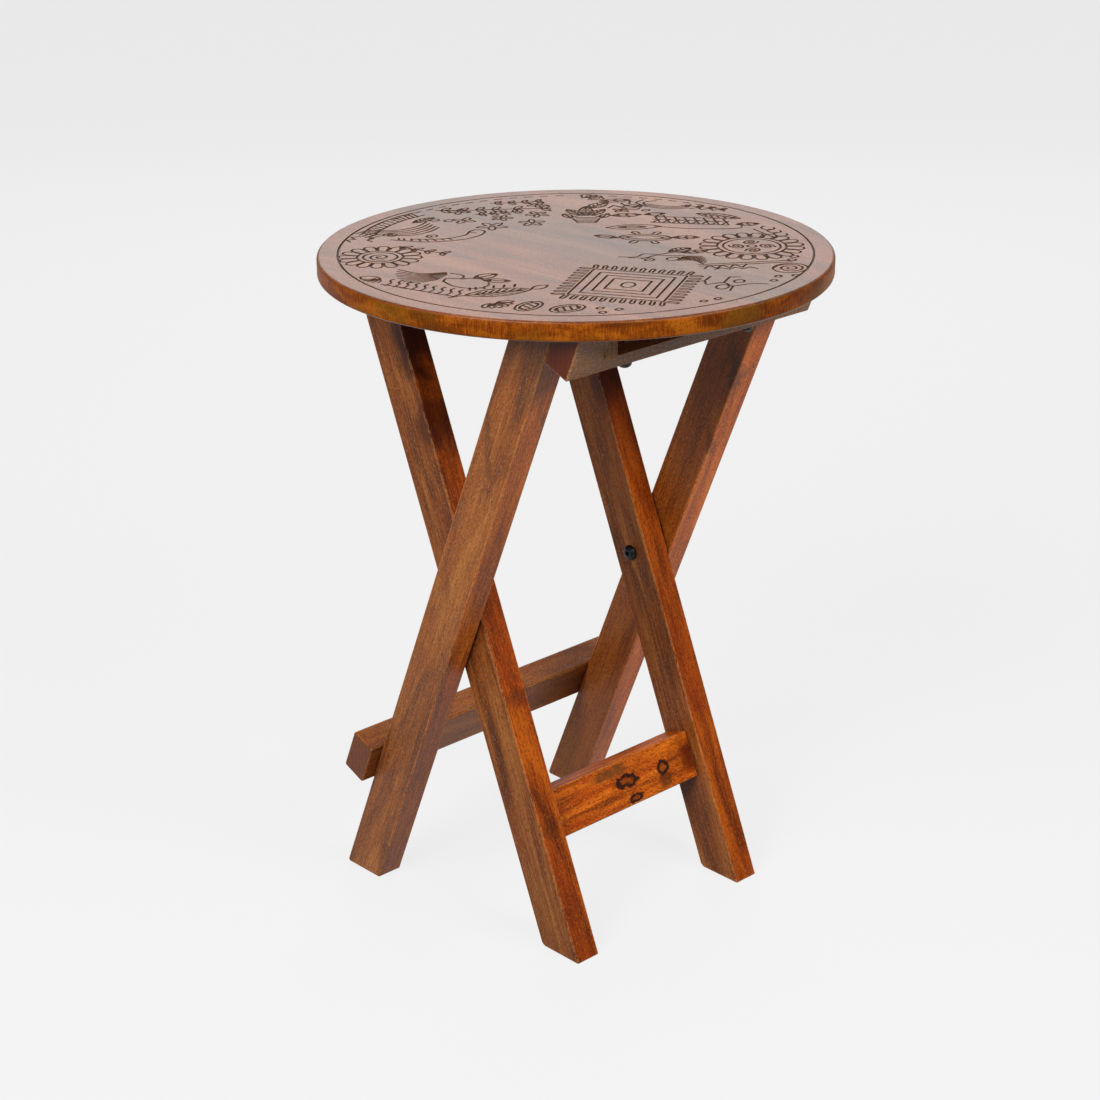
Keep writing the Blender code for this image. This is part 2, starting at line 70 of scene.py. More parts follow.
# -------------------------------------------------------------------- stage
CAMERA_AZIMUTH = radians(-43.2)
CAMERA_ELEVATION = radians(21.84)
CAMERA_ROLL = radians(-0.34)
CAMERA_PLACE = (-1.3774, -1.4328, 1.1213)
CAMERA_LENS = 78.57           # mm, on a sensor 36 mm wide
FLOOR_HALF = 100
BACKDROP_RADIUS = 40
STAGE_GLOW = 0.80
FLOOR_ALBEDO = 0.10
AMBIENT = 0.10
LEGS_MIDDLE = (0, 0, 0.35)
TOP_MIDDLE = (0, 0, 0.6)


def add_camera():
    azimuth, elevation = CAMERA_AZIMUTH, CAMERA_ELEVATION
    back = Vector((sin(azimuth) * cos(elevation), -cos(azimuth) * cos(elevation), sin(elevation)))
    level = Vector((cos(azimuth), sin(azimuth), 0))
    upright = back.cross(level)
    right = level * cos(CAMERA_ROLL) + upright * sin(CAMERA_ROLL)
    up = upright * cos(CAMERA_ROLL) - level * sin(CAMERA_ROLL)
    camera = bpy.data.objects.new("camera", bpy.data.cameras.new("camera"))
    camera.data.sensor_width = 36
    camera.data.lens = CAMERA_LENS
    camera.data.clip_end = 3 * FLOOR_HALF
    axes = Matrix((right, up, back)).transposed().to_4x4()
    camera.matrix_world = Matrix.Translation(CAMERA_PLACE) @ axes
    bpy.context.scene.collection.objects.link(camera)
    bpy.context.scene.camera = camera


def add_light(name, place, target, size, radiance):
    """A soft white panel of the given size, facing the target."""
    light = bpy.data.lights.new(name, "AREA")
    light.shape = "RECTANGLE"
    light.size, light.size_y = size
    light.energy = radiance * pi * size[0] * size[1]
    lamp = bpy.data.objects.new(name, light)
    lamp.location = place
    lamp.rotation_euler = (Vector(target) - Vector(place)).to_track_quat("-Z", "Y").to_euler()
    bpy.context.scene.collection.objects.link(lamp)


def stage_paint(name, albedo):
    material = bpy.data.materials.new(name)
    material.use_nodes = True
    shader = material.node_tree.nodes["Principled BSDF"]
    shader.inputs["Base Color"].default_value = (albedo, albedo, albedo, 1)
    shader.inputs["Roughness"].default_value = 1.0
    shader.inputs["Specular IOR Level"].default_value = 0.0
    shader.inputs["Emission Color"].default_value = (1, 1, 1, 1)
    shader.inputs["Emission Strength"].default_value = STAGE_GLOW
    return material


def add_stage_piece(name, bm, albedo):
    """A pale, glowing piece of the studio that sheds no diffuse light."""
    mesh = bpy.data.meshes.new(name)
    bm.to_mesh(mesh)
    bm.free()
    mesh.materials.append(stage_paint(name, albedo))
    piece = bpy.data.objects.new(name, mesh)
    bpy.context.scene.collection.objects.link(piece)
    piece.visible_diffuse = False
    return piece


def add_floor():
    bm = bmesh.new()
    bmesh.ops.create_grid(bm, x_segments=1, y_segments=1, size=FLOOR_HALF)
    add_stage_piece("floor", bm, FLOOR_ALBEDO)


def add_backdrop():
    """A round wall far behind everything, seen by the camera alone."""
    bm = bmesh.new()
    bmesh.ops.create_cone(bm, segments=64, radius1=BACKDROP_RADIUS, radius2=BACKDROP_RADIUS,
                          depth=2 * BACKDROP_RADIUS)
    wall = add_stage_piece("backdrop", bm, 0.0)
    wall.visible_glossy = False
    wall.visible_shadow = False


def add_stage():
    scene = bpy.context.scene
    scene.view_settings.view_transform = "Standard"
    world = bpy.data.worlds.new("studio")
    world.use_nodes = True
    world.node_tree.nodes["Background"].inputs["Color"].default_value = (1, 1, 1, 1)
    world.node_tree.nodes["Background"].inputs["Strength"].default_value = AMBIENT
    scene.world = world
    add_floor()
    add_backdrop()
    add_light("left_panel", (-2.35, -0.50, 2.10), LEGS_MIDDLE, (1.5, 1.5), 10.5)
    add_light("front_panel", (0.30, -2.50, 2.10), LEGS_MIDDLE, (1.3, 1.0), 11.5)
    add_light("back_panel", (1.9, 2.0, 1.75), TOP_MIDDLE, (2.6, 1.3), 2.7)


# ---------------------------------------------------------------- materials
class Look:
    """A material being put together from nodes."""

    def __init__(self, name):
        self.material = bpy.data.materials.new(name)
        self.material.use_nodes = True
        self.tree = self.material.node_tree
        self.shader = self.tree.nodes["Principled BSDF"]
        self.coordinates = self.node("TexCoord").outputs

    def node(self, kind, values=None, **settings):
        node = self.tree.nodes.new("ShaderNode" + kind)
        for name, value in settings.items():
            setattr(node, name, value)
        for socket, value in (values or {}).items():
            self.feed(node.inputs[socket], value)
        return node

    def feed(self, socket, value):
        if isinstance(value, bpy.types.NodeSocket):
            self.tree.links.new(value, socket)
        else:
            socket.default_value = value

    def surface(self, **values):
        for name, value in values.items():
            self.feed(self.shader.inputs[name.replace("_", " ")], value)

    def math(self, operation, a, b=0.0):
        return self.node("Math", {0: a, 1: b}, operation=operation).outputs[0]

    def vector(self, operation, a, b):
        node = self.node("VectorMath", {0: a, 1: b}, operation=operation)
        return node.outputs["Value" if operation == "DOT_PRODUCT" else "Vector"]

    def noise(self, place, scale, detail=2.0, distortion=0.0):
        stretched = self.vector("MULTIPLY", place, scale)
        values = {"Vector": stretched, "Scale": 1.0, "Detail": detail, "Distortion": distortion}
        return self.node("TexNoise", values).outputs["Fac"]

    def band(self, value, low, high):
        """0 below low and 1 above high, smooth between."""
        values = {"Value": value, "From Min": low, "From Max": high}
        return self.node("MapRange", values, interpolation_type="SMOOTHSTEP").outputs["Result"]

    def scaled(self, value, low, high):
        values = {"Value": value, "To Min": low, "To Max": high}
        return self.node("MapRange", values).outputs["Result"]

    def mix(self, factor, a, b, blend="MIX"):
        values = {0: factor, 6: a, 7: b}
        return self.node("Mix", values, data_type="RGBA", blend_type=blend).outputs[2]

    def ramp(self, value, stops):
        node = self.node("ValToRGB", {"Fac": value})
        elements = node.color_ramp.elements
        while len(elements) < len(stops):
            elements.new(0.5)
        for element, (position, colour) in zip(elements, stops):
            element.position = position
            element.color = (*colour, 1)
        return node.outputs["Color"]

    def edges(self, radius):
        """Above 0 close to the edges of the mesh, 0 on its flat faces."""
        rounded = self.node("Bevel", {"Radius": radius}, samples=4).outputs["Normal"]
        flat = self.node("NewGeometry").outputs["Normal"]
        return self.math("SUBTRACT", 1.0, self.vector("DOT_PRODUCT", rounded, flat))

    def bump(self, height, strength, distance):
        values = {"Height": height, "Strength": strength, "Distance": distance}
        self.surface(Normal=self.node("Bump", values).outputs["Normal"])


DARK_WOOD = (0.130, 0.030, 0.003)
MID_WOOD = (0.350, 0.092, 0.008)
LIGHT_WOOD = (0.540, 0.180, 0.025)
RED_WOOD = (0.320, 0.055, 0.002)
PORE_WOOD = (0.050, 0.013, 0.003)
# Pale wood: the colour of the flecks, and of the painted highlights along the eased edges.
FLECK_AND_HIGHLIGHT_WOOD = (0.640, 0.330, 0.130)
CLOUD_SHADE = (0.045, 0.012, 0.003)
# Red-black of the painted shadow under the tabletop, on the inner legs' front faces.
PAINTED_SHADOW_RED = (0.035, 0.003, 0.001)
DEEP_RED = (0.075, 0.004, 0.001)
OLIVE_SHADE = (0.110, 0.050, 0.012)
KNOT_HEART = (0.150, 0.022, 0.003)
KNOT_LINE = (0.020, 0.005, 0.002)
# Painted light: the legs' front and rear faces get their own brighter, more saturated colour, standing in
# for how the lamps and reflections fall on them.
OUTER_FRONT_LIGHT = (1.75, 1.42, 0.85)      # colour of the legs' front faces against their sides
INNER_FRONT_LIGHT = (1.32, 0.78, 0.07)
# How strongly the painted highlights show along the eased edges of the wood.
EDGE_HIGHLIGHT = 0.8
BLACK_METAL = (0.030, 0.030, 0.032)
BLACK_NYLON = (0.05, 0.05, 0.05)
YELLOW_ZINC = (0.72, 0.52, 0.22)
BARE_STEEL = (0.62, 0.61, 0.59)
TOP_SPECULAR = 0.50
RIM_SPECULAR = 0.06


def shade(colour, factor):
    return (colour[0] * factor[0], colour[1] * factor[1], colour[2] * factor[2])


def opaque(colour):
    return (*colour, 1)


def wood_colour(look, place, tint, contrast, red, waves=0.0):
    """Streaks, patches, pores and flecks along the first axis of place."""
    figure = look.noise(place, (5, 34, 34), 4.0, 1.2 + waves)
    streaks = look.noise(place, (30, 480, 480), 3.0)
    tone = look.math("ADD", look.math("MULTIPLY", figure, 0.62), look.math("MULTIPLY", streaks, 0.38))
    spread = 0.14 / contrast
    colour = look.ramp(tone, ((0.50 - spread, shade(DARK_WOOD, tint)), (0.50, shade(MID_WOOD, tint)),
                              (0.50 + spread, shade(LIGHT_WOOD, tint))))
    patches = look.band(look.noise(place, (9, 44, 44), 2.0, 0.4), 0.50, 0.64)
    colour = look.mix(look.math("MULTIPLY", patches, red), colour, opaque(shade(RED_WOOD, tint)))
    pores = look.band(look.noise(place, (300, 1300, 1300), 1.0), 0.53, 0.64)
    elsewhere = look.vector("ADD", place, (3.1, 1.7, 0.9))
    flecks = look.band(look.noise(elsewhere, (420, 1300, 1300), 1.0), 0.56, 0.68)
    colour = look.mix(look.math("MULTIPLY", flecks, 0.42), colour, opaque(shade(FLECK_AND_HIGHLIGHT_WOOD, tint)))
    colour = look.mix(look.math("MULTIPLY", pores, 0.60), colour, opaque(PORE_WOOD))
    return colour, streaks, pores


def add_end_grain(look, colour, grain, tint, place):
    """Rings and open pores where the surface cuts across the grain."""
    facing = look.math("ABSOLUTE", look.vector("DOT_PRODUCT", look.coordinates["Normal"], tuple(grain)))
    rings = look.node("TexWave", {"Vector": place, "Scale": 60.0, "Distortion": 4.0, "Detail": 3.0},
                      bands_direction="Y").outputs["Fac"]
    ends = look.ramp(rings, ((0.1, shade(MID_WOOD, tint)), (0.9, shade(RED_WOOD, tint))))
    dots = look.band(look.noise(place, (900, 900, 900), 1.0), 0.50, 0.66)
    ends = look.mix(look.math("MULTIPLY", dots, 0.7), ends, opaque(PORE_WOOD))
    return look.mix(look.band(facing, 0.80, 0.95), colour, ends)


def add_front_face_light(look, colour, face_light):
    """Painted light: the front and rear faces get their own colour, standing in for how the lamps and their
    reflections fall on them.
    """
    facing = look.node("SeparateXYZ", {"Vector": look.coordinates["Normal"]}).outputs["Y"]
    front = look.band(look.math("ABSOLUTE", facing), 0.4, 0.8)
    return look.mix(front, colour, look.mix(1.0, colour, opaque(face_light), "MULTIPLY"))


def wood(name, grain, seed, tint, contrast=1.0, red=0.3, gloss=0.42, front=None,
         ends=(0.62, 0.60, 0.60), specular=0.3, waves=0.0, marks=()):
    """Stained wood along the grain: its tint, figure, painted light on the front faces, marks, end grain,
    and painted highlights along the edges.
    """
    look = Look(name)
    turn = grain.rotation_difference(X_GRAIN).to_euler()
    values = {"Vector": look.coordinates["Object"], "Rotation": tuple(turn),
              "Location": (0.37 * seed, 0.21 * seed, 0.13 * seed)}
    place = look.node("Mapping", values).outputs["Vector"]
    colour, streaks, pores = wood_colour(look, place, tint, contrast, red, waves)
    if front:
        colour = add_front_face_light(look, colour, front)
    for mark in marks:
        colour = add_mark(look, colour, **mark)
    colour = add_end_grain(look, colour, grain, shade(tint, ends), place)
    # Painted highlight: broken pale lines along the eased edges, where light catches them.
    pale_edges = look.math("MULTIPLY", look.band(look.edges(0.0013), 0.010, 0.09),
                     look.band(look.noise(place, (220, 700, 700), 2.0), 0.40, 0.54))
    colour = look.mix(look.math("MULTIPLY", pale_edges, EDGE_HIGHLIGHT), colour, opaque(FLECK_AND_HIGHLIGHT_WOOD))
    look.surface(Base_Color=colour, Roughness=look.scaled(streaks, gloss - 0.08, gloss + 0.08),
                 Specular_IOR_Level=specular)
    height = look.math("SUBTRACT", look.math("MULTIPLY", streaks, 0.5), pores)
    look.bump(height, 0.25, 0.0006)
    return look.material


def add_mark(look, colour, centre, size, depth, tone=CLOUD_SHADE, ring=0.0, arch=0.0, wobble=0.8):
    """A dark cloud on the wood, for stains and for painted shadow; with ring, the dark outline of a knot,
    arched if asked.
    """
    offset = look.vector("SUBTRACT", look.coordinates["Object"], centre)
    reach = look.vector("MULTIPLY", offset, (1 / size[0], 1 / size[1], 1 / size[2]))
    if arch:
        across = look.node("SeparateXYZ", {"Vector": reach}).outputs["X"]
        sag = look.math("MULTIPLY", look.math("MULTIPLY", across, across), arch)
        reach = look.vector("ADD", reach, look.node("CombineXYZ", {"Z": sag}).outputs["Vector"])
    distance = look.node("VectorMath", {0: reach}, operation="LENGTH").outputs["Value"]
    scale = 0.9 / min(size)
    noise = look.noise(look.coordinates["Object"], (scale, scale, scale), 3.0, 0.6)
    ragged = look.math("ADD", distance, look.scaled(noise, -wobble, wobble))
    if ring:
        ragged = look.math("MULTIPLY", look.math("ABSOLUTE", look.math("SUBTRACT", ragged, ring)), 2.6)
    heart = look.math("SUBTRACT", 1.0, look.band(ragged, 0.30, 1.0))
    return look.mix(look.math("MULTIPLY", heart, depth), colour, opaque(tone))


def metal(name, colour, roughness, scratch):
    """Slightly grimy metal, with scratches and bare edges as deep as scratch says."""
    look = Look(name)
    place = look.coordinates["Object"]
    grime = look.noise(place, (220, 220, 220), 3.0)
    scratches = look.band(look.noise(place, (400, 2400, 900), 1.0), 0.60, 0.70)
    tone = look.ramp(grime, ((0.35, shade(colour, (0.6, 0.6, 0.6))), (0.65, colour)))
    tone = look.mix(look.math("MULTIPLY", scratches, scratch), tone, opaque((0.35, 0.34, 0.33)))
    pale_edges = look.math("MULTIPLY", look.band(look.edges(0.0005), 0.02, 0.2), scratch)
    tone = look.mix(pale_edges, tone, opaque((0.30, 0.29, 0.28)))
    look.surface(Base_Color=tone, Metallic=1.0,
                 Roughness=look.scaled(grime, roughness - 0.10, roughness + 0.14))
    look.bump(grime, 0.10, 0.0003)
    return look.material


def plastic(name, colour):
    look = Look(name)
    grain = look.noise(look.coordinates["Object"], (900, 900, 900), 2.0)
    tone = look.ramp(grain, ((0.35, shade(colour, (0.8, 0.8, 0.8))), (0.65, colour)))
    look.surface(Base_Color=tone, Roughness=look.scaled(grain, 0.42, 0.60))
    look.bump(grain, 0.12, 0.0002)
    return look.material


# ------------------------------------------------------------- top's colour
TOP_TINT = (0.66, 0.70, 1.2)
BOARD_JOINTS = (-0.020, 0.065)
BOARD_SLANT = 0.03


def board_number(look):
    """0, 1 or 2 across the top, by the joints between its boards, and the place across it."""
    place = look.node("SeparateXYZ", {"Vector": look.coordinates["Object"]}).outputs
    across = look.math("ADD", place["X"], look.math("MULTIPLY", place["Y"], BOARD_SLANT))
    return look.math("ADD", look.math("GREATER_THAN", across, BOARD_JOINTS[0]),
                     look.math("GREATER_THAN", across, BOARD_JOINTS[1])), across


def top_wood(name):
    """Three boards glued side by side, each with its own shade."""
    look = Look(name)
    board, across = board_number(look)
    turn = Y_GRAIN.rotation_difference(X_GRAIN).to_euler()
    values = {"Vector": look.coordinates["Object"], "Rotation": tuple(turn), "Location": (1.7, 0.9, 0.4)}
    place = look.node("Mapping", values).outputs["Vector"]
    shift = look.node("CombineXYZ", {"X": look.math("MULTIPLY", board, 0.83),
                                     "Y": look.math("MULTIPLY", board, 0.31), "Z": 0.0}).outputs["Vector"]
    place = look.vector("ADD", place, shift)
    colour, streaks, pores = wood_colour(look, place, TOP_TINT, 0.75, 0.35)
    boards = look.ramp(look.math("MULTIPLY", board, 0.5),
                     ((0.0, (1.06, 0.94, 0.80)), (0.5, (0.74, 0.80, 0.80)), (1.0, (1.10, 0.96, 0.78))))
    boards.node.color_ramp.interpolation = "CONSTANT"
    colour = look.mix(1.0, colour, boards, "MULTIPLY")
    for joint in BOARD_JOINTS:
        gap = look.math("ABSOLUTE", look.math("SUBTRACT", across, joint))
        seam = look.math("SUBTRACT", 1.0, look.band(gap, 0.0002, 0.0009))
        colour = look.mix(look.math("MULTIPLY", seam, 0.55), colour, opaque(DARK_WOOD))
    # Painted highlight: pale lines along the top's eased edges, where light catches them.
    pale_edges = look.math("MULTIPLY", look.band(look.edges(0.0010), 0.015, 0.15),
                     look.scaled(look.noise(look.coordinates["Object"], (150, 150, 150), 2.0), 0.0, 0.7))
    colour = look.mix(pale_edges, colour, opaque(FLECK_AND_HIGHLIGHT_WOOD))
    look.surface(Base_Color=colour, Roughness=look.scaled(streaks, 0.32, 0.46),
                 Specular_IOR_Level=TOP_SPECULAR)
    look.bump(look.math("SUBTRACT", look.math("MULTIPLY", streaks, 0.5), pores), 0.18, 0.0005)
    return look.material


def rim_wood(name):
    """The turned edge: orange and olive by turns, finely streaked, with dark chips at its corners."""
    look = Look(name)
    place = look.coordinates["Object"]
    mottle = look.noise(place, (26, 26, 60), 4.0, 0.6)
    lines = look.noise(place, (700, 700, 120), 2.0)
    tone = look.math("ADD", look.math("MULTIPLY", mottle, 0.65), look.math("MULTIPLY", lines, 0.35))
    colour = look.ramp(tone, ((0.40, (0.130, 0.026, 0.001)), (0.50, (0.270, 0.056, 0.001)),
                              (0.60, (0.420, 0.110, 0.004))))
    elsewhere = look.vector("ADD", place, (0.7, 0.2, 0.0))
    olive = look.band(look.noise(elsewhere, (14, 14, 30), 2.0, 0.5), 0.46, 0.60)
    colour = look.mix(look.math("MULTIPLY", olive, 0.6), colour, opaque((0.200, 0.085, 0.004)))
    pores = look.band(look.noise(place, (1100, 1100, 600), 1.0), 0.54, 0.66)
    colour = look.mix(look.math("MULTIPLY", pores, 0.55), colour, opaque(PORE_WOOD))
    chips = look.math("MULTIPLY", look.band(look.edges(0.0016), 0.010, 0.08),
                      look.band(look.noise(place, (60, 60, 200), 3.0), 0.50, 0.56))
    colour = look.mix(look.math("MULTIPLY", chips, 0.85), colour, opaque(PORE_WOOD))
    look.surface(Base_Color=colour, Roughness=look.scaled(lines, 0.36, 0.52),
                 Specular_IOR_Level=RIM_SPECULAR)
    look.bump(lines, 0.15, 0.0005)
    return look.material


def groove_wood(name):
    """The dark, dusty inside of the carved lines."""
    look = Look(name)
    dust = look.noise(look.coordinates["Object"], (500, 500, 500), 3.0)
    tone = look.ramp(dust, ((0.35, (0.050, 0.022, 0.012)), (0.65, (0.130, 0.052, 0.022))))
    look.surface(Base_Color=tone, Roughness=look.scaled(dust, 0.55, 0.75))
    look.bump(dust, 0.4, 0.0005)
    return look.material


# ------------------------------------------------------------- carved lines
# A stroke is a list of points (x, y) on the top, in millimetres from its middle.
GROOVE_WIDTH = 2.1
GROOVE_DEPTH = 0.0012
BORDER_RADIUS = 201.5
SHARP_CORNER = radians(50)
LONGEST_BEND = radians(140)
CURVE_STEP = 2.4
DASH_RADIUS = 193
DASH_SWEEP = 0.035
DASH_STEP = 0.075
FLAT_SLOT, GROOVE_SLOT, RIM_SLOT = 0, 1, 2


def turned(point, angle, centre=(0, 0)):
    x, y = point
    return (centre[0] + x * cos(angle) - y * sin(angle), centre[1] + x * sin(angle) + y * cos(angle))


def placed(strokes, centre, angle=0.0, size=1.0):
    """Strokes drawn about (0, 0), brought to their place on the top."""
    return [[turned((x * size, y * size), angle, centre) for x, y in stroke] for stroke in strokes]


def oval(centre, rx, ry=None, angle=0.0, start=0.0, sweep=2 * pi, steps=None):
    ry = ry or rx
    steps = steps or max(8, int(abs(sweep) * (rx + ry) / 2 / CURVE_STEP))
    angles = [start + sweep * i / steps for i in range(steps + 1)]
    return [turned((rx * cos(a), ry * sin(a)), angle, centre) for a in angles]


def smooth(points, steps=5):
    """A curve through the given points."""
    ends = [points[0], *points, points[-1]]
    curve = []
    for a, b, c, d in zip(ends, ends[1:], ends[2:], ends[3:]):
        for i in range(steps):
            t = i / steps
            weights = (-t + 2 * t**2 - t**3, 2 - 5 * t**2 + 3 * t**3,
                       t + 4 * t**2 - 3 * t**3, t**3 - t**2)
            near = (a, b, c, d)
            curve.append(tuple(sum(w * p[k] for w, p in zip(weights, near)) / 2 for k in (0, 1)))
    return curve + [points[-1]]


def spiral(centre, inner, outer, turns, angle=0.0):
    steps = int(turns * 12)
    places = [(inner + (outer - inner) * i / steps, angle + 2 * pi * turns * i / steps)
              for i in range(steps + 1)]
    return [(centre[0] + r * cos(a), centre[1] + r * sin(a)) for r, a in places]


def leaf(base, tip, width, veins=0):
    """A pointed leaf outline, with slanting veins along its midrib."""
    dx, dy = tip[0] - base[0], tip[1] - base[1]
    reach = width / sqrt(dx * dx + dy * dy)

    def place(along, across):
        return (base[0] + dx * along - dy * across, base[1] + dy * along + dx * across)

    side = [(t, reach * sin(pi * t) ** 0.8) for t in (0, 0.12, 0.3, 0.5, 0.7, 0.88, 1)]
    strokes = [smooth([place(t, w * k) for t, w in side], 3) for k in (1, -1)]
    if veins:
        strokes.append([place(0.06, 0), place(0.90, 0)])
    for i in range(veins):
        t = 0.15 + 0.6 * i / max(1, veins - 1)
        w = reach * 0.70 * sin(pi * (t + 0.1))
        strokes += [[place(t, 0), place(t + 0.12, w)], [place(t, 0), place(t + 0.12, -w)]]
    return strokes


def petals(centre, inner, outer, count, width, phase=0.0, sweep=2 * pi):
    """Rounded petals standing outwards on a circle."""
    half = width / 2
    rounded = [(outer - half + half * sin(a), half * cos(a)) for a in (0, pi / 4, pi / 2, pi * 3 / 4, pi)]
    outline = [(inner, half * 0.7), *rounded, (inner, -half * 0.7)]
    return [[turned(p, phase + sweep * i / count, centre) for p in outline] for i in range(count)]


def flower(centre, size, count=5, angle=0.0):
    """A line that runs in and out around a small ring."""
    steps = count * 8
    outline = []
    for i in range(steps + 1):
        a = 2 * pi * i / steps
        r = size * (0.68 + 0.32 * cos(count * a))
        outline.append(turned((r * cos(a), r * sin(a)), angle, centre))
    return [outline, oval(centre, size * 0.16, steps=6)]


def comb(points, tooth, lean=0.0, spine=True):
    """Teeth standing on the left of a line, or on its right for a negative tooth."""
    strokes = [points] if spine else []
    for a, b in zip(points, points[1:]):
        dx, dy = b[0] - a[0], b[1] - a[1]
        length = sqrt(dx * dx + dy * dy)
        nx, ny = -dy / length + lean * dx / length, dx / length + lean * dy / length
        strokes.append([a, (a[0] + nx * tooth, a[1] + ny * tooth)])
    return strokes


def line(a, b, count):
    return [(a[0] + (b[0] - a[0]) * i / count, a[1] + (b[1] - a[1]) * i / count) for i in range(count + 1)]


def zigzag(a, b, count, width):
    points = line(a, b, count)
    dx, dy = b[0] - a[0], b[1] - a[1]
    length = sqrt(dx * dx + dy * dy)
    return [[(x - dy / length * width * (i % 2), y + dx / length * width * (i % 2))
             for i, (x, y) in enumerate(points)]]


def bands(points, count, gap):
    """Copies of one curve, side by side."""
    dx, dy = points[-1][0] - points[0][0], points[-1][1] - points[0][1]
    length = sqrt(dx * dx + dy * dy)
    curve = smooth(points)
    return [[(x - dy / length * gap * k, y + dx / length * gap * k) for x, y in curve]
            for k in range(count)]


def sheaf(base, reach, count, start, sweep, bend=0.35):
    """Curved blades that spread from one place."""
    strokes = []
    for i in range(count):
        a = start + sweep * i / (count - 1)
        middle = turned((reach * 0.55, reach * bend * 0.5), a, base)
        strokes.append(smooth([turned((reach * 0.12, 0), a, base), middle, turned((reach, 0), a, base)], 3))
    return strokes


def woven_square(centre, half, angle):
    """Nested squares about a small ring, with a looped fringe on all four sides."""
    corners = ((-1, -1), (1, -1), (1, 1), (-1, 1), (-1, -1))
    strokes = [[turned((half * k * x, half * k * y), angle, centre) for x, y in corners]
               for k in (1.0, 0.80, 0.60, 0.40)]
    strokes.append(oval(centre, half * 0.20, half * 0.14, angle))
    for side in range(4):
        turn = angle + side * pi / 2
        for i in range(11):
            across = half * (-1 + 2 * i / 10)
            loop = ((1.07, across - 1.5), (1.28, across * 1.03 - 1.8), (1.33, across * 1.03),
                    (1.28, across * 1.03 + 1.8), (1.07, across + 1.5))
            strokes.append([turned((half * k, y), turn, centre) for k, y in loop])
    return strokes


def small_rings(places, radius=3.2):
    return [oval(place, radius, radius * 0.8, steps=8) for place in places]


def hatched_oval(centre, rx, ry, angle):
    strokes = [oval((0, 0), rx, ry), oval((0, 0), rx * 0.72, ry * 0.62)]
    for k in (-0.6, -0.2, 0.2, 0.6):
        strokes.append([(rx * k - 1.5, -ry * 0.45), (rx * k + 1.5, ry * 0.45)])
    return placed(strokes, centre, angle)


def fern(points, length):
    """Small leaves on both sides of a curved stem."""
    stem = smooth(points, 4)
    strokes = [stem]
    for i in range(1, len(stem) - 1, 2):
        (ax, ay), (bx, by) = stem[i], stem[i + 1]
        heading = Vector((bx - ax, by - ay)).angle_signed(Vector((1, 0)))
        for side in (1, -1):
            strokes += leaf((ax, ay), turned((length, 0), heading + side * 0.9, (ax, ay)), length * 0.22)
    return strokes


def border_dashes(start, count):
    """Short dashes in a row along the inside of the border."""
    return [[turned((DASH_RADIUS, 0), start - DASH_STEP * k),
             turned((DASH_RADIUS, 0), start - DASH_STEP * k - DASH_SWEEP)] for k in range(count)]


def left_rosette():
    centre = (-135.5, 96)
    strokes = [oval(centre, 19.5), oval(centre, 14.5), spiral(centre, 1.5, 10, 1.6, 0.6)]
    return strokes + petals(centre, 20.5, 35.5, 16, 10.0)


def right_rosette():
    centre = (114, -98)
    strokes = [oval(centre, 24.5), oval(centre, 29.5), oval(centre, 4.0)]
    strokes += petals(centre, 30.5, 45.0, 20, 10.5)
    for i in range(4):
        spot = turned((13.5, 0), pi / 4 + i * pi / 2, centre)
        strokes += [oval(spot, 7.0, 5.2, i * pi / 2, 0.5, 5.2), oval(spot, 3.2, 2.2, i * pi / 2, steps=7)]
    return strokes


def front_left_group():
    """Blades, a row of hooks, a curled stem, broad leaves, petals and hatched ovals."""
    strokes = sheaf((-125, 16), 46, 9, 2.15, 0.95)
    for x, y in line((-186, 27), (-167, -36), 8):
        strokes.append(smooth([(x - 3, y - 2), (x + 5, y), (x + 9, y + 6), (x + 14, y + 7)], 3))
    strokes.append(line((-189, 30), (-171, -38), 6))
    strokes.append(smooth([(-127, 16), (-124, 4), (-131, -2), (-139, 6), (-147, 2)], 4))
    strokes.append(smooth([(-147, 2), (-151, -16), (-144, -32), (-131, -34), (-121, -22), (-124, -8),
                           (-133, -4)], 4))
    strokes += leaf((-124, -10), (-101, -12), 6.5, 2) + leaf((-122, -19), (-108, -36), 5.5, 2)
    strokes += leaf((-163, -42), (-112, -66), 10.5, 7) + leaf((-112, -66), (-95, -66), 4.5)
    strokes += comb(smooth([(-150, -34), (-132, -42), (-112, -54)], 3), 7, 0.3, False)
    strokes.append([(-176, -38), (-163, -42)])
    for i in range(6):
        a = -2.75 + i * 0.42
        strokes += leaf(turned((4, 0), a, (-160, -72)), turned((17, 0), a, (-160, -72)), 3.2)
    strokes += hatched_oval((-147, -100), 15, 9, 0.25) + hatched_oval((-130, -126), 15, 9.5, -0.25)
    return strokes + sheaf((-180, 46), 13, 5, 2.6, 1.5) + [oval((-184, 50), 6, 9, 0.3)]


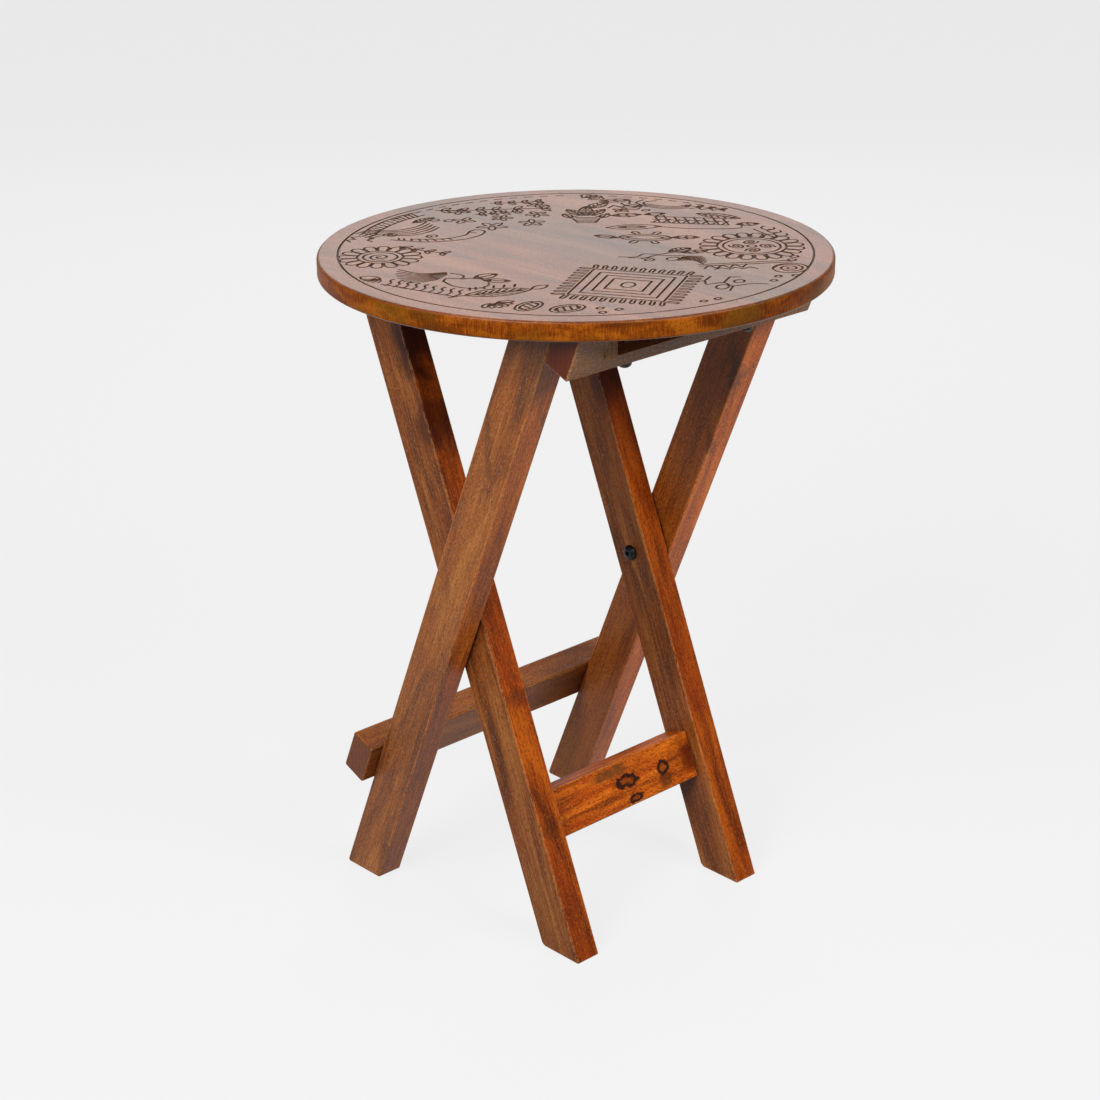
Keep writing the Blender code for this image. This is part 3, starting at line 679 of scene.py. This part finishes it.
def left_group():
    """A ladder along the border, wavy bands ending in a curl, and a fern."""
    strokes = comb(smooth([(-96, 168), (-72, 182), (-40, 192), (-16, 194)], 5), -13, 0.25)
    strokes.append(smooth([(-90, 158), (-66, 171), (-38, 179), (-14, 181)], 4))
    strokes += bands([(-104, 150), (-88, 150), (-70, 134), (-50, 132), (-34, 138)], 5, 5.5)
    strokes.append(smooth([(-92, 134), (-74, 106), (-48, 92), (-26, 92), (-14, 100), (-17, 109),
                           (-26, 107), (-24, 101)], 5))
    strokes.append(smooth([(-78, 124), (-60, 106), (-38, 101), (-26, 107)], 4))
    strokes += comb(smooth([(-88, 128), (-72, 108), (-50, 96)], 4), 6, -0.3, False)
    strokes += [spiral((-82, 146), 1.5, 7, 1.4), spiral((-58, 118), 1.5, 6.5, 1.3, 2.0)]
    strokes += fern([(-101, 112), (-97, 90), (-88, 66)], 9)
    strokes += zigzag((-122, 152), (-104, 162), 4, 6) + zigzag((-108, 140), (-92, 156), 4, 5)
    return strokes + small_rings(((-20, 160), (-12, 150)), 4.5) + leaf((-40, 166), (-14, 168), 5, 4)


def back_left_group():
    """Wavy flowers and sprigs near the far edge."""
    strokes = []
    flowers = (((2, 108), 14, 5, 0.2), ((36, 93), 12, 5, 0.9), ((-2, 141), 11, 4, 0.4),
               ((28, 124), 10, 5, 0.5), ((60, 112), 11, 5, 0.1), ((16, 168), 10, 4, 0.7),
               ((84, 138), 10, 5, 0.3))
    for centre, size, count, angle in flowers:
        strokes += flower(centre, size, count, angle)
    strokes += fern([(4, 186), (26, 166), (50, 148), (84, 120)], 12)
    strokes += fern([(20, 150), (36, 140), (54, 132)], 9)
    strokes += fern([(58, 172), (76, 158), (96, 146)], 9)
    strokes += border_dashes(1.80, 13)
    return strokes + placed(petals((0, 0), 2, 17, 4, 9, -0.75, 2.0), (132, 124))


def potted_plant():
    """A hatched jar with three sprigs, on the far side."""
    strokes = [[(-29, -8), (-10, -13), (-3, -7), (-3, 7), (-10, 13), (-29, 8), (-29, -8)]]
    strokes += [[(k, -9), (k, 9)] for k in (-25, -20, -15, -10)]
    strokes += leaf((-3, 0), (31, 0), 6.0, 5)
    for side in (1, -1):
        strokes += leaf((-3, 3 * side), (20, 17 * side), 5.0, 4)
        strokes += leaf((-12, 13 * side), (4, 20 * side), 4.0, 2)
    return placed(strokes, (90, 80), radians(46.8))


def back_right_group():
    """A palm, zigzags, leaves, and a slanting roof-like lattice."""
    strokes = bands([(150, 66), (154, 52), (160, 42), (172, 34)], 3, 4.5)
    strokes += sheaf((150, 66), 24, 6, 0.3, 2.6, 0.6) + zigzag((122, 84), (146, 66), 5, 9)
    strokes += leaf((108, 96), (136, 100), 7, 4) + leaf((134, 108), (158, 92), 6, 3)
    strokes += leaf((104, 62), (126, 46), 6.5, 3) + leaf((128, 44), (144, 34), 5, 2)
    strokes += flower((124, 70), 8, 4, 0.2) + small_rings(((134, 30), (140, 54)), 3.8)
    strokes += zigzag((172, 30), (188, 2), 6, 7) + fern([(176, 44), (186, 26), (193, 6)], 6)
    strokes += border_dashes(0.72, 9)
    for row in range(3):
        strokes.append([(112 + 9 * row, 20 + 6 * row), (152 + 7 * row, -34 + 10 * row)])
    for k in range(8):
        x, y = 113 + 5.2 * k, 19 - 7.0 * k
        strokes += [[(x, y), (x + 13, y + 4)], [(x + 4, y - 5), (x + 16, y + 13)]]
    strokes += leaf((164, 14), (178, -26), 8, 5) + leaf((160, -38), (176, -50), 6, 3)
    strokes.append(smooth([(104, 8), (122, -22), (150, -48), (160, -44)], 4))
    for k in range(3):
        strokes.append(oval((170 - 4 * k, -66 - 11 * k), 7.0, 5.5, 1.2, 0, 4.6))
    return strokes + [[(158, -60), (150, -90)]]


def middle_right_group():
    """A leafy mound, a pointed leaf and curling stems towards the middle."""
    strokes = [oval((70, -14), 22, 11, -0.85), oval((70, -14), 15, 6, -0.85)]
    strokes += placed(petals((0, 0), 15, 24, 12, 6), (70, -14), -0.85, 0.95)[::2]
    strokes += leaf((52, 2), (44, 22), 5, 2) + leaf((86, -30), (104, -46), 5.5, 3)
    strokes += leaf((70, 34), (108, 4), 8.5, 0) + leaf((78, 28), (98, 12), 4.0, 2)
    strokes.append(smooth([(8, -44), (18, -54), (30, -52), (38, -62), (52, -66), (60, -78)], 4))
    strokes.append(smooth([(12, -52), (22, -62), (34, -62), (42, -72), (50, -80)], 4))
    strokes.append(spiral((19, -68), 1.5, 6.5, 1.3))
    strokes += leaf((50, -62), (72, -66), 6.5, 4) + leaf((56, -72), (76, -82), 5, 3)
    strokes += sheaf((34, -84), 26, 7, -1.25, 0.95, 0.5) + [oval((36, -80), 6, 4.5)]
    return strokes


def front_right_group():
    """A rod with a coil at its end, a branching twig and small rings."""
    strokes = [line((38, -108), (102, -152), 5), line((35, -112), (99, -156), 5)]
    strokes += [spiral((84, -168), 1.5, 13, 2.2, 1.0), oval((84, -168), 15.5, 13.5)]
    strokes += zigzag((32, -120), (62, -142), 7, 9) + zigzag((36, -128), (64, -150), 6, 5)
    strokes += [smooth([(-6, -136), (4, -146), (-2, -154), (12, -160), (10, -172), (26, -178),
                        (34, -188)], 3),
                [(12, -160), (28, -152), (34, -158)], [(4, -146), (18, -140)], [(10, -172), (-2, -180)]]
    strokes += [oval((2, -168), 7, 5, 0.4), oval((24, -166), 5, 4)]
    strokes += small_rings(((-111, -143), (-118, -153), (-103, -156), (-39, -186), (-26, -189),
                            (46, -184), (58, -178), (70, -186)))
    return strokes + small_rings(((104, -152), (114, -146)), 4.0)


def carved_strokes():
    strokes = [oval((0, 0), BORDER_RADIUS, steps=180)]
    strokes += woven_square((-48, -111), 39.5, radians(30))
    for group in (left_rosette, right_rosette, front_left_group, left_group, back_left_group,
                  potted_plant, back_right_group, middle_right_group, front_right_group):
        strokes += group()
    return strokes


def short_runs(stroke, width):
    """Parts of a stroke that each bend gently and stay open."""
    kept = [Vector(stroke[0])]
    for point in stroke[1:]:
        if (Vector(point) - kept[-1]).length > width * 0.2:
            kept.append(Vector(point))
    runs, run, bend = [], [kept[0]], 0.0
    for before, point, after in zip([None] + kept, kept, kept[1:]):
        corner = (point - before).angle(after - point, 0) if before else 0.0
        if corner > SHARP_CORNER or bend + corner > LONGEST_BEND:
            runs.append(run)
            run, bend = [point], 0.0
        else:
            bend += corner
        run.append(after)
    return runs + [run]


def ribbon(run, width):
    """A closed outline, with round ends, around an open run of points."""
    radius = width / 2
    left, right = [], []
    for i, point in enumerate(run):
        before = (point - run[i - 1]).normalized() if i else None
        after = (run[i + 1] - point).normalized() if i + 1 < len(run) else None
        ahead = ((before or after) + (after or before)).normalized()
        across = Vector((-ahead.y, ahead.x))
        left.append(point + across * radius)
        right.append(point - across * radius)
    return (right[1:-1] + cap(run[-1], run[-1] - run[-2], radius) + left[-2:0:-1]
            + cap(run[0], run[0] - run[1], radius))


def cap(centre, ahead, radius):
    """A half circle around the end of a run, from its right side to its left."""
    angle = ahead.angle_signed(Vector((1, 0)))
    return [centre + Vector((cos(angle + a), sin(angle + a))) * radius
            for a in (-pi / 2, -pi / 4, 0, pi / 4, pi / 2)]


def sunk_face(bm, outline, shapes, level, floor, slots):
    """A flat face at one level, with the shapes sunk to the floor as open recesses.

    slots are the material slots of the flat face and of the recesses.
    """
    points = list(outline)
    faces = [list(range(len(outline)))]
    for shape in shapes:
        faces.append(list(range(len(points), len(points) + len(shape))))
        points += shape
    flat, _, triangles, _, _, sources = delaunay_2d_cdt([Vector(p) for p in points], [], faces, 1, 1e-6)
    upper = [bm.verts.new((p.x, p.y, level)) for p in flat]
    lower = {}
    sides = {}
    for corners, source in zip(triangles, sources):
        sunk = any(index > 0 for index in source)
        if sunk:
            for i in corners:
                if i not in lower:
                    lower[i] = bm.verts.new((flat[i].x, flat[i].y, floor))
        face = bm.faces.new([lower[i] if sunk else upper[i] for i in corners])
        face.material_index = slots[1] if sunk else slots[0]
        for a, b in zip(corners, corners[1:] + corners[:1]):
            sides.setdefault((min(a, b), max(a, b)), []).append((sunk, a, b))
    for pair in sides.values():
        if len(pair) == 2 and pair[0][0] != pair[1][0]:
            _, a, b = pair[0] if pair[0][0] else pair[1]
            wall = bm.faces.new((upper[b], upper[a], lower[a], lower[b]))
            wall.material_index = slots[1]


def shade_top(mesh):
    """Give the rim its own slot, and flat shading to the level faces and the grooves."""
    for face in mesh.polygons:
        if face.material_index == FLAT_SLOT and abs(face.normal.z) < 0.5:
            face.material_index = RIM_SLOT
        face.use_smooth = abs(face.normal.z) < 0.999 and face.material_index != GROOVE_SLOT
    mesh.materials.append(top_wood("top_wood"))
    mesh.materials.append(groove_wood("groove_wood"))
    mesh.materials.append(rim_wood("rim_wood"))


def build_top():
    """The top panel with its carved lines cut in as real grooves."""
    source = frame["nodes"]["top_panel"]
    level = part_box("top_panel")[1].z
    bm = bmesh.new()
    bm.from_mesh(source.data)
    bmesh.ops.remove_doubles(bm, verts=bm.verts, dist=1e-6)
    flat = [f for f in bm.faces if f.normal.z > 0.99 and f.calc_center_median().z > level - 1e-5]
    rim = {v for f in flat for v in f.verts}
    bmesh.ops.delete(bm, geom=flat, context="FACES_ONLY")
    edge = sorted((v.co.to_2d() for v in rim if v.is_valid and v.link_faces),
                  key=lambda p: p.angle_signed(Vector((1, 0))))
    shapes = [[point / 1000 for point in ribbon(run, GROOVE_WIDTH)] for stroke in carved_strokes()
              for run in short_runs(stroke, GROOVE_WIDTH)]
    sunk_face(bm, edge, shapes, level, level - GROOVE_DEPTH, (FLAT_SLOT, GROOVE_SLOT))
    bmesh.ops.remove_doubles(bm, verts=bm.verts, dist=1e-6)
    bmesh.ops.recalc_face_normals(bm, faces=bm.faces)
    mesh = bpy.data.meshes.new("carved_top")
    bm.to_mesh(mesh)
    bm.free()
    shade_top(mesh)
    top = bpy.data.objects.new("carved_top", mesh)
    bpy.context.scene.collection.objects.link(top)
    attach(top, "tabletop")
    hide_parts("top_panel")


# -------------------------------------------------------------------- nodes
def cloud(x, y, z, sx, sy, sz, depth, tone=CLOUD_SHADE):
    return {"centre": (x, y, z), "size": (sx, sy, sz), "depth": depth, "tone": tone}


def painted_top_shadow(x):
    """Painted shadow: the reddish dark that the tabletop casts on the inner legs' front faces, just under
    it.
    """
    return (cloud(x, 0.088, 0.530, 0.060, 0.028, 0.055, 0.92, PAINTED_SHADOW_RED),
            cloud(x, 0.058, 0.465, 0.060, 0.028, 0.055, 0.75, PAINTED_SHADOW_RED))


LEG_MARKS = {
    # The first cloud on the left outer leg is painted shadow: it darkens the top of its outer side, under
    # the tabletop.
    "outer_leg_left": (cloud(-0.143, -0.120, 0.530, 0.020, 0.040, 0.060, 0.55, OLIVE_SHADE),
                       cloud(-0.143, -0.045, 0.470, 0.012, 0.006, 0.060, 0.45),
                       cloud(-0.143, 0.010, 0.330, 0.012, 0.004, 0.030, 0.35)),
    "outer_leg_right": (cloud(0.118, -0.078, 0.480, 0.018, 0.009, 0.045, 0.65),
                        cloud(0.118, -0.050, 0.405, 0.014, 0.006, 0.040, 0.55),
                        cloud(0.118, 0.120, 0.110, 0.012, 0.006, 0.060, 0.35)),
    "inner_leg_left": (*painted_top_shadow(-0.104),
                       cloud(-0.104, -0.030, 0.215, 0.020, 0.006, 0.030, 0.45),
                       cloud(-0.104, -0.075, 0.100, 0.020, 0.006, 0.050, 0.40)),
    "inner_leg_right": (*painted_top_shadow(0.104),
                        cloud(0.116, -0.080, 0.110, 0.005, 0.012, 0.070, 0.55)),
}


def stretcher_marks():
    """Knots and dark areas on the front of the inner stretcher."""
    low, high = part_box("inner_stretcher")
    x, y, z = (low + high) / 2
    front = low.y + 0.006
    marks = [cloud(x + 0.086, y, z, 0.030, 0.05, 0.030, 0.85, DEEP_RED),
             cloud(x - 0.014, front, z + 0.018, 0.026, 0.03, 0.008, 0.75, OLIVE_SHADE),
             cloud(x + 0.052, front, z - 0.006, 0.012, 0.03, 0.008, 0.70)]
    knots = ((0.004, 0.007, 0.019, 0.0065, 0.55), (0.010, -0.010, 0.011, 0.0045, 0.0),
             (0.050, 0.005, 0.009, 0.0070, 0.0))
    for dx, dz, reach, rise, arch in knots:
        place = {"centre": (x + dx, front, z + dz), "size": (reach, 0.03, rise), "arch": arch}
        marks.append({**place, "depth": 0.6, "tone": KNOT_HEART})
        marks.append({**place, "depth": 0.95, "tone": KNOT_LINE, "ring": 0.62, "wobble": 0.65})
    return marks


def dress(name, material):
    """Give a node this material in place of its own."""
    data = bpy.data.objects[name].data
    data.materials.clear()
    data.materials.append(material)


def both(*names):
    return [name + side for name in names for side in ("_left", "_right")]


def dress_legs():
    outer = (("outer_leg_left", 5, (0.97, 0.98, 1.1), 1.0), ("outer_leg_right", 4, (1.22, 1.08, 0.8), 0.8))
    for name, seed, tint, contrast in outer:
        dress(name, wood(name, OUTER_GRAIN, seed, tint, contrast, 0.15, front=OUTER_FRONT_LIGHT,
                         specular=0.28, marks=LEG_MARKS[name]))
    for seed, name in enumerate(both("inner_leg"), 6):
        dress(name, wood(name, INNER_GRAIN, seed, (0.82, 0.82, 1.1), 1.2, front=INNER_FRONT_LIGHT,
                         specular=0.15, marks=LEG_MARKS[name]))


def dress_bars():
    # The rail's grey-lilac tint is partly its own colour and partly a painted reflection of the pale floor.
    dress("top_rail", wood("top_rail", X_GRAIN, 7, (1.05, 1.60, 4.6), 0.5, 0.1,
                           ends=(0.36, 0.14, 0.01), specular=0.20))
    dress("rear_stretcher", wood("rear_stretcher", X_GRAIN, 8, (0.88, 0.85, 0.7), 0.9))
    dress("inner_stretcher", wood("inner_stretcher", X_GRAIN, 9, (1.60, 1.05, 0.3), 1.1, 0.6,
                                  specular=0.12, waves=1.8, marks=stretcher_marks()))
    for seed, name in enumerate(both("cleat"), 10):
        dress(name, wood(name, Y_GRAIN, seed, (1.3, 2.0, 5.0), red=0.0, ends=(0.9, 1.0, 1.0)))
    dowels = [name for name in frame["nodes"] if "dowel" in name]
    for seed, name in enumerate(dowels, 20):
        dress(name, wood(name, X_GRAIN, seed, (1.7, 3.2, 8.0), 0.6, 0.0, gloss=0.6))


def dress_hardware():
    for name in both("pivot_bolt", "catch_bolt"):
        dress(name, metal(name, BLACK_METAL, 0.38, 0.25))
    for name in both("pivot_washer"):
        dress(name, plastic(name, BLACK_NYLON))
    for name in both("pivot_insert"):
        dress(name, metal(name, YELLOW_ZINC, 0.35, 0.1))
    for name in both("hinge_pin"):
        dress(name, metal(name, BARE_STEEL, 0.30, 0.1))
    for name in frame["nodes"]:
        if name.startswith("cleat_screw"):
            dress(name, metal(name, BARE_STEEL, 0.35, 0.1))


add_camera()
add_stage()
dress_legs()
dress_bars()
dress_hardware()
build_top()
